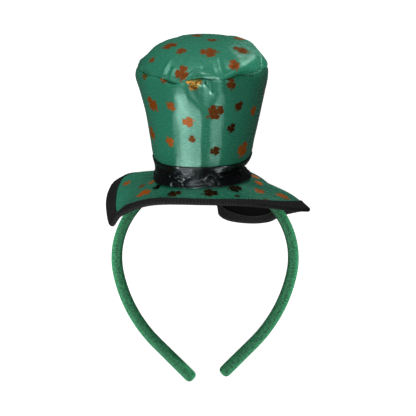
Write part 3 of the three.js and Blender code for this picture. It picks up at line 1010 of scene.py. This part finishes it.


# Shamrock print: the ones that the photograph shows, by their places in it in pixels

# Each one's tone paints its light and shade: a low tone is painted shade, a high one painted light, and one
# above SHINY also a painted gold glint
PRINTS_SEEN = table(
    "across down size turn tone",
    (197, 35.5, 8.5, 20, 0.2),
    (212, 40, 8, -60, 0.2),
    (239, 38.5, 9, 100, 0.3),
    (170, 45.5, 11, 75, 0.2),
    (181, 51, 8, 200, 0.23),
    (208.6, 52, 12.5, -80, 0.29),
    (152, 60, 5.5, 120, 0.38),
    (241, 50, 12, -50, 0.22),
    (234, 64.4, 8.5, -15, 0.37),
    (182, 72.6, 11, 15, 0.32),
    (145.5, 75, 7.5, 150, 2.35),
    (164.5, 80, 6.2, 180, 0.38),
    (194, 83, 11.5, 180, 2.25),
    (231.5, 84, 8, 0, 0.31),
    (152, 104, 11.5, -20, 0.66),
    (171, 106.5, 7.6, 150, 0.58),
    (216, 112, 12.3, 65, 0.23),
    (239, 106, 7.4, 30, 0.26),
    (253.5, 111, 7.5, 160, 1),
    (188, 122, 8.4, -90, 0.36),
    (231.5, 128, 7.2, 20, 0.18),
    (152, 133, 10, 10, 0.82),
    (192, 139, 5.8, 0, 0.14),
    (170, 142, 7.6, 180, 0.9),
    (215, 151, 7.6, -100, 0.13),
    (243, 149, 11.5, 20, 1),
    (265, 90, 8, 0, 0.8),
    (144, 109, 8, 0, 0.8),
    (127, 183, 7, 20, 0.7),
    (142, 186, 6, 20, 0.45),
    (152, 182, 6, 0, 0.8),
    (144, 193, 12, 70, 1),
    (157, 187, 7, 0, 0),
    (174, 194, 11, 60, 0.03),
    (210.5, 193, 11, 90, 0.01),
    (235, 188, 11, 90, 0),
    (237, 196, 5, 0, 0.04),
    (255, 176.5, 8, 40, 0.45),
    (259, 183, 7.5, 80, 0.75),
    (260, 191, 9, 80, 0.3),
    (283, 196, 12, 60, 0.65),
    (266, 199.5, 5, 0, 0.1),
)
HIDDEN_SPACING = 14.0  # least distance between the shamrocks that the photograph doesn't show
HIDDEN_TRIES = 4000
HIDDEN_REACH = 12.0  # least distance from what the camera sees
HIDDEN_SIZES = (5.8, 7.4, 7.6, 8.5, 11.0, 12.3)
HIDDEN_TONES = (0.4, 1.0)
HIDDEN_UP = Vector((0.3, 0.5, 0.8))  # what their turns are measured from
SEEN_STEPS = (0, -0.3, 0.3, -0.6, 0.6, -0.9, 0.9)  # shares of that distance at which the camera's view is tried
SKIP = 0.2  # from a surface to where a line that leaves it starts
COVER = 6.0  # a place is covered by anything that is as near as this
FACING = 0.2  # least cosine between a face and the shamrock on it
PRINT_REACH = 3.0  # how far a shamrock's faces reach, in its radii
FAR = 9.0  # a place with no shamrock near it

# The columns of a row for one shamrock
PLACE = slice(0, 3)
NORMAL = slice(3, 6)
AXIS_X = slice(6, 9)
AXIS_Y = slice(9, 12)
RADIUS = 12
TONE = 13


def values_of(items, name, width=1, kind=float):
    """One property of all points, faces or corners of a mesh."""
    values = np.empty(len(items) * width, kind)
    items.foreach_get(name, values)
    return values if width == 1 else values.reshape(-1, width)


def piece_tree(piece):
    mesh = piece.data
    return BVHTree.FromPolygons([v.co for v in mesh.vertices], [p.vertices for p in mesh.polygons])


def first_hit(trees, start, direction, skip=0.0):
    """The nearest piece on a line: its name, the place, the outward direction there and how far it is."""
    best = None
    for name, tree in trees.items():
        place, normal, _, distance = tree.ray_cast(start + direction * skip, direction)
        if place is not None and (best is None or distance < best[3]):
            best = (name, place, normal, distance)
    return best


def print_row(place, normal, up, size, turn, tone):
    """One shamrock: its place, outward direction, two directions along the cloth, radius and tone."""
    upward = (up - normal * up.dot(normal)).normalized()
    side = upward.cross(normal)
    angle = radians(turn)
    axis_y = upward * cos(angle) + side * sin(angle)
    return np.array([*place, *normal, *axis_y.cross(normal), *axis_y, size / 2 * MM, tone])


def seen_prints(trees):
    """Shamrocks where lines from the camera through the photograph meet the satin."""
    prints = {}
    for across, down, size, turn, tone in zip(*PRINTS_SEEN.values()):
        half = PHOTO_SIZE / 2
        direction = Vector(((across - half) / PHOTO_FOCAL, (half - down) / PHOTO_FOCAL, -1)).normalized()
        hit = first_hit(trees, CAMERA_PLACE, direction)
        if hit:
            name, place, normal, _ = hit
            row = print_row(place, normal, Vector((0, 1, 0)), size, turn, tone)
            prints.setdefault(name, []).append(row)
    return prints


def add_hidden_prints(piece, rows, trees):
    """Seeded shamrocks, evenly apart, wherever the camera doesn't see the piece."""
    draw = np.random.default_rng(len(piece.data.vertices))
    polygons = piece.data.polygons
    areas = values_of(polygons, "area")
    for face in draw.choice(len(polygons), HIDDEN_TRIES, p=areas / areas.sum()):
        place = polygons[face].center
        normal = polygons[face].normal
        turn = draw.uniform(0, 360)
        size = draw.choice(HIDDEN_SIZES)
        tone = draw.uniform(*HIDDEN_TONES)
        near = [row for row in rows if (Vector(row[PLACE]) - place).length < HIDDEN_SPACING * MM]
        if near or not outside(place, normal, trees) or seen_near(place, trees):
            continue
        rows.append(print_row(place, normal, HIDDEN_UP, size, turn, tone))
    return rows


def outside(place, normal, trees):
    """Whether nothing lies close over a place."""
    hit = first_hit(trees, place, normal, skip=SKIP * MM)
    return hit is None or hit[3] > COVER * MM


def seen_near(place, trees):
    """Whether the camera sees anything within a shamrock's reach of a place."""
    reach = HIDDEN_REACH * MM
    for step in SEEN_STEPS:
        for axis in np.eye(3):
            direction = (place + Vector(axis * step * reach) - CAMERA_PLACE).normalized()
            hit = first_hit(trees, CAMERA_PLACE, direction)
            if hit and (hit[1] - place).length < reach:
                return True
    return False


def write_print(piece, rows):
    """Gives each face the shamrock that is nearest to it, as places in that shamrock's own axes."""
    mesh = piece.data
    rows = np.array(rows)
    apart = values_of(mesh.polygons, "center", 3)[:, None] - rows[:, PLACE]
    facing = values_of(mesh.polygons, "normal", 3) @ rows[:, NORMAL].T
    distance = np.linalg.norm(apart, axis=-1) + np.where(facing > FACING, 0, FAR)
    nearest = distance.argmin(1)
    far = distance.min(1) > PRINT_REACH * rows[nearest, RADIUS]
    sides = values_of(mesh.polygons, "loop_total", kind=int)
    corner_row = rows[np.repeat(nearest, sides)]
    corner_point = values_of(mesh.loops, "vertex_index", kind=int)
    offset = values_of(mesh.vertices, "co", 3)[corner_point] - corner_row[:, PLACE]
    local = np.stack([(offset * corner_row[:, axis]).sum(1) for axis in (AXIS_X, AXIS_Y)], -1)
    values = np.column_stack([local / corner_row[:, RADIUS, None], corner_row[:, TONE]])
    values[np.repeat(far, sides)] = (FAR, FAR, 0)
    attribute = mesh.attributes.new("print", "FLOAT_VECTOR", "CORNER")
    attribute.data.foreach_set("vector", values.astype(np.float32).ravel())


def print_shamrocks(printed, others):
    """The whole print, on each satin piece."""
    trees = {piece.name: piece_tree(piece) for piece in [*printed, *others]}
    prints = seen_prints(trees)
    for piece in printed:
        write_print(piece, add_hidden_prints(piece, prints.get(piece.name, []), trees))


# Stage

FLOOR_REACH = 4.0
LAMP_DISTANCE = 1.5
LAMP_TARGET = Vector((0, 0.05, 0.05))
# For each softbox: its bearing from -Y towards +X and its elevation in degrees, its width and height in
# metres, its radiance, and its distance if that is another. Fills shade the cloth and draw no highlights
FILLS = {
    "key": (-40, 35, 1.0, 1.0, 3.6),
    "right": (75, 25, 1.0, 1.0, 0.5),
    "sky": (-90, 78, 2.6, 2.6, 0.5, 1.4),
    "back": (178, 14, 1.5, 0.8, 4.2),
    "brim_fill": (-115, 22, 1.0, 1.0, 1.1),
    "top_fill": (85, 0, 1.0, 1.0, 5.5),
    "band_top": (0, 90, 1.0, 1.0, 1.4),
}
# Gleams only draw the highlights
GLEAMS = {
    "left_gleam": (-25, 17, 1.1, 1.2, 5.7),
    "right_gleam": (27, 34, 0.6, 0.9, 2.4),
    "sash_high_gleam": (-150, 60, 1.8, 1.2, 5.5),
    "sash_low_gleam": (34, 0, 0.28, 0.6, 9),
    "back_gleam": (180, 24, 1.5, 0.35, 3),
    "high_gleam": (-150, 55, 1.3, 0.5, 5),
    "back_right_gleam": (128, 9, 0.7, 0.6, 6),
    "top_gleam": (147, -10, 1.1, 0.8, 3.2),
}
SHADOWLESS = "top_fill left_gleam right_gleam sash_high_gleam sash_low_gleam top_gleam"
BAND_SUNS = {"band_left": -72, "band_right": 72}  # their bearings
BAND_SUN_STRENGTH = 3.6


def make_floor():
    """White paper, level with the lowest point of the object."""
    mesh = bpy.data.meshes.new("floor")
    corners = [(x * FLOOR_REACH, y * FLOOR_REACH, 0) for x, y in ((-1, -1), (1, -1), (1, 1), (-1, 1))]
    mesh.from_pydata(corners, [], [(0, 1, 2, 3)])
    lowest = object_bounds()[0][2]
    floor = add_object("floor", mesh)
    floor.location.z = lowest
    shader = Shader("floor_paper")
    paper = shader.node("ShaderNodeTexNoise", {"Scale": 40})[0]
    shader.set(
        Base_Color=shader.mix(paper, grey(0.6), grey(0.64)),
        Roughness=0.9,
        Emission_Color=grey(1),
        Emission_Strength=0.85,
    )
    mesh.materials.append(shader.material)
    floor.visible_glossy = False
    floor.visible_diffuse = False


def softbox(name, bearing, elevation, width, height, radiance, distance=LAMP_DISTANCE):
    """A rectangular light that faces the object."""
    light = bpy.data.lights.new(name, "AREA")
    light.shape = "RECTANGLE"
    light.size = width
    light.size_y = height
    light.energy = radiance * pi * width * height
    return place_lamp(light, bearing, elevation, distance)


def band_sun(name, bearing, headband):
    """A light in the headband's own plane, so that each arm keeps it off the other arm."""
    light = bpy.data.lights.new(name, "SUN")
    light.energy = BAND_SUN_STRENGTH
    light.angle = radians(1)
    below = degrees(asin(cos(radians(bearing)) * sin(LEAN)))
    lamp = place_lamp(light, bearing, -below, LAMP_DISTANCE)
    lamp.light_linking.blocker_collection = piece_group([headband])
    return lamp


def place_lamp(light, bearing, elevation, distance):
    lamp = add_object(light.name, light)
    turn = radians(bearing)
    lift = radians(elevation)
    away = Vector((sin(turn) * cos(lift), -cos(turn) * cos(lift), sin(lift)))
    lamp.location = LAMP_TARGET + away * distance
    lamp.rotation_euler = away.to_track_quat("Z", "Y").to_euler()
    lamp.visible_camera = False
    return lamp


def piece_group(pieces):
    group = bpy.data.collections.new("pieces")
    for piece in pieces:
        group.objects.link(piece)
    return group


def light_only(lamps, names, pieces, state="INCLUDE"):
    """The named lamps light these pieces and nothing else, or everything else if the state is EXCLUDE."""
    group = piece_group(pieces)
    for member in group.collection_objects:
        member.light_linking.link_state = state
    for name in names.split():
        lamps[name].light_linking.receiver_collection = group


def make_lights(side, top, brim, sash, headband):
    """All lights, and the pieces that each of them reaches."""
    fills = {name: softbox(name, *settings) for name, settings in FILLS.items()}
    suns = {name: band_sun(name, bearing, headband) for name, bearing in BAND_SUNS.items()}
    gleams = {name: softbox(name, *settings) for name, settings in GLEAMS.items()}
    lamps = {**fills, **suns, **gleams}
    light_only(lamps, "key right", [headband], "EXCLUDE")
    light_only(lamps, "brim_fill", [brim])
    light_only(lamps, "top_fill top_gleam", [top])
    light_only(lamps, "band_top band_left band_right", [headband])
    light_only(lamps, "sash_high_gleam sash_low_gleam", [sash])
    light_only(lamps, "back_gleam", [side, brim])
    light_only(lamps, "high_gleam", [side, top, brim])
    light_only(lamps, "back_right_gleam", [top, brim])
    for lamp in (*fills.values(), *suns.values()):
        lamp.visible_glossy = False
    for lamp in gleams.values():
        lamp.visible_diffuse = False
    for name in SHADOWLESS.split():
        lamps[name].data.use_shadow = False
        lamps[name].data.cycles.use_multiple_importance_sampling = False


def make_world():
    """A faint white glow from all around."""
    world = bpy.data.worlds.new("studio")
    world.use_nodes = True
    backdrop = world.node_tree.nodes["Background"]
    backdrop.inputs["Color"].default_value = grey(1)
    backdrop.inputs["Strength"].default_value = 0.06
    bpy.context.scene.world = world
    bpy.context.scene.view_settings.view_transform = "Standard"


def make_camera():
    camera = bpy.data.cameras.new("camera")
    camera.sensor_width = SENSOR
    camera.lens = SENSOR * PHOTO_FOCAL / PHOTO_SIZE
    stand = add_object("camera", camera)
    stand.location = CAMERA_PLACE
    bpy.context.scene.camera = stand


def build():
    satin = green_satin()
    headband = make_headband(green_yarn())
    side, top = make_crown(satin)
    sash = make_sash(black_satin())
    brim, lining, tape, stitches = make_brim(satin, black_lining(), black_tape())
    print_shamrocks([side, top, brim], [headband, sash, lining, tape])
    make_floor()
    make_lights(side, top, brim, sash, headband)
    make_world()
    make_camera()


build()
